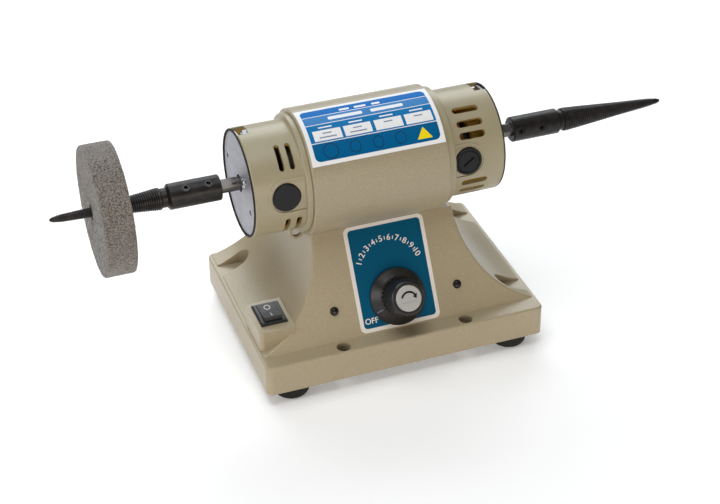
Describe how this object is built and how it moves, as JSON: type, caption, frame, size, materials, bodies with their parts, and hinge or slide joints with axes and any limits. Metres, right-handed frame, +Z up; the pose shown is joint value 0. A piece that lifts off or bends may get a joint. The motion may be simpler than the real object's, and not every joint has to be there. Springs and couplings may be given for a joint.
{
  "type": "bench polishing lathe",
  "caption": "Double-ended bench polishing lathe: a motor on a cast pedestal turns two tapered spindles, one with a wheel; rocker switch and speed knob in front.",
  "frame": {"origin": "on the floor, under the middle of the base", "axes": "+X along the spindle to the right, -Y towards the operator, +Z up"},
  "size_m": [0.3771, 0.1304, 0.1492],
  "materials": {
    "hammertone_casting": "cream hammertone powder coat with fine sparkle",
    "cream_plastic": "satin moulded plastic",
    "end_plate_metal": "fine satin, slightly violet grey",
    "bright_steel": "turned and polished",
    "black_oxide": "blackened steel with a brown sheen at the edges",
    "abrasive": "grey non-woven abrasive, speckled",
    "black_rubber": "moulded rubber",
    "black_plastic": "satin black moulded plastic",
    "black_screw": "blackened screw",
    "label_blue": "printed film, white edge",
    "silver_cap": "satin silver disc",
    "zinc": "bright zinc plate",
    "brass": "plain",
    "copper": "enamelled copper",
    "electrical_steel": "stacked laminations",
    "carbon": "pressed carbon",
    "board_green": "solder-masked board",
    "fan_amber": "amber moulded plastic",
    "sheet_steel": "plated sheet"
  },
  "bodies": {
    "machine": {"base_casting": "hammertone_casting", "bottom_plate": "sheet_steel", "rubber_feet": "black_rubber", "foot_screws": "zinc", "cable_gland": "black_rubber", "gland_nut": "black_plastic", "front_panel_label": "label_blue", "panel_screws": "black_screw", "speed_potentiometer": "zinc", "potentiometer_nut": "zinc", "switch_frame": "black_plastic", "switch_terminals": "brass", "speed_control_board": "board_green", "board_posts": "brass", "board_screws": "zinc", "capacitor": "black_plastic", "heat_sink": "end_plate_metal", "triac": "black_plastic", "motor_barrel": "hammertone_casting", "motor_mount_bolts": "zinc", "nameplate": "label_blue", "left_end_housing": "cream_plastic", "right_end_housing": "cream_plastic", "left_end_plate": "end_plate_metal", "left_end_plate_screws": "zinc", "right_end_plate": "end_plate_metal", "right_end_plate_screws": "zinc", "through_bolts": "zinc", "through_bolt_nuts": "zinc", "blank_plugs": "black_plastic", "brush_caps": "black_plastic", "brush_holders": "brass", "front_brush_spring": "bright_steel", "back_brush_spring": "bright_steel", "stator_core": "electrical_steel", "field_windings": "copper", "bearing_outer_rings": "bright_steel"},
    "spindle": {"motor_shaft": "bright_steel", "bearing_inner_rings": "bright_steel", "armature_core": "electrical_steel", "armature_windings": "copper", "commutator": "copper", "cooling_fan": "fan_amber", "left_adaptor": "black_oxide", "right_adaptor": "black_oxide", "adaptor_set_screws": "black_screw", "polishing_wheel": "abrasive"},
    "ball_cages": {"bearing_balls": "bright_steel"},
    "speed_control": {"speed_knob": "black_plastic", "knob_grub_screw": "black_screw", "knob_cap": "silver_cap", "potentiometer_shaft": "bright_steel"},
    "switch_rocker": {"rocker": "black_plastic"},
    "front_brush": {"front_carbon_brush": "carbon"},
    "back_brush": {"back_carbon_brush": "carbon"}
  },
  "joints": [
    {"name": "spindle_spin", "type": "hinge", "parent": "machine", "child": "spindle", "pos_m": [0, 0.0038, 0.1112], "axis": [1, 0, 0], "continuous": true},
    {"name": "ball_cage_spin", "type": "hinge", "parent": "machine", "child": "ball_cages", "pos_m": [0, 0.0038, 0.1112], "axis": [1, 0, 0], "continuous": true},
    {"name": "speed_turn", "type": "hinge", "parent": "machine", "child": "speed_control", "pos_m": [0.0005, -0.04183, 0.0427], "axis": [0, -0.8622, 0.5066], "range_deg": [-300, 0]},
    {"name": "rocker_tilt", "type": "hinge", "parent": "machine", "child": "switch_rocker", "pos_m": [-0.0735, -0.0296, 0.03825], "axis": [1, 0, 0], "range_deg": [0, 14]},
    {"name": "front_brush_slide", "type": "slide", "parent": "machine", "child": "front_brush", "axis": [0, -0.9903, 0.1392], "range_m": [0, 0.002], "stiffness_N_per_m": 120, "springref_m": -0.01, "deforming": ["front_brush_spring"]},
    {"name": "back_brush_slide", "type": "slide", "parent": "machine", "child": "back_brush", "axis": [0, 0.9903, -0.1392], "range_m": [0, 0.002], "stiffness_N_per_m": 120, "springref_m": -0.01, "deforming": ["back_brush_spring"]}
  ],
  "couplings": [
    {"joint": "ball_cage_spin", "follows": "spindle_spin", "ratio": 0.368}
  ]
}
